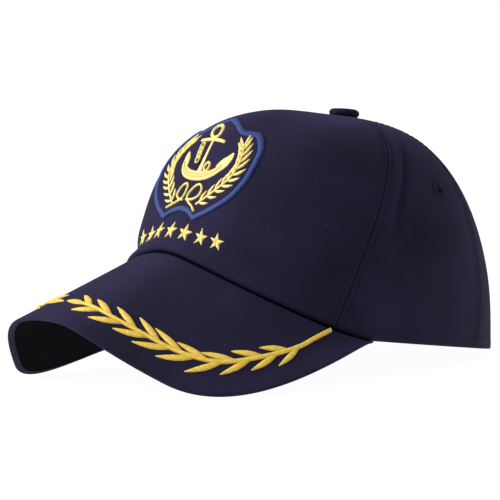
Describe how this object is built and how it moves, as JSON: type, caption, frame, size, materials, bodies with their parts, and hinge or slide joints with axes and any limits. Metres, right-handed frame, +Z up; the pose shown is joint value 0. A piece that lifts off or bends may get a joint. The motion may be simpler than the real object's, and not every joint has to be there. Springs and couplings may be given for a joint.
{
  "type": "captain hat",
  "caption": "Cloth captain's cap with a curved peak, covered button, shield badge with anchor and wreath, and laurel on the peak; worn on the head.",
  "frame": {"origin": "bottom centre of the bounding box, on the surface that the hat rests on", "axes": "+Z up, +Y towards the back of the hat, +X towards the wearer's left; the hat lies as it rests by itself, on the two low sides of its peak and the back of its rim, front up by about 9 degrees"},
  "size_m": [0.1986, 0.2368, 0.1243],
  "materials": {
    "navy_twill": "matt cotton twill",
    "gold_thread": "satin stitch",
    "pale_gold_thread": "satin stitch",
    "blue_thread": "satin stitch"
  },
  "bodies": {
    "root": {"crown_front_panel": "navy_twill", "crown_side_panel_left": "navy_twill", "crown_side_panel_right": "navy_twill", "crown_back_panel_left": "navy_twill", "crown_back_panel_right": "navy_twill", "top_button": "navy_twill", "brim": "navy_twill", "badge_patch": "navy_twill", "eyelet_side_left": "navy_twill", "eyelet_side_right": "navy_twill", "eyelet_back_left": "navy_twill", "eyelet_back_right": "navy_twill", "badge_border": "blue_thread", "badge_anchor": "pale_gold_thread", "badge_knot": "pale_gold_thread", "badge_wreath_left": "pale_gold_thread", "badge_wreath_right": "pale_gold_thread", "star_1": "pale_gold_thread", "star_2": "pale_gold_thread", "star_3": "pale_gold_thread", "star_4": "pale_gold_thread", "star_5": "pale_gold_thread", "star_6": "pale_gold_thread", "star_7": "pale_gold_thread", "brim_branch_left": "gold_thread", "brim_branch_right": "gold_thread"}
  },
  "joints": []
}
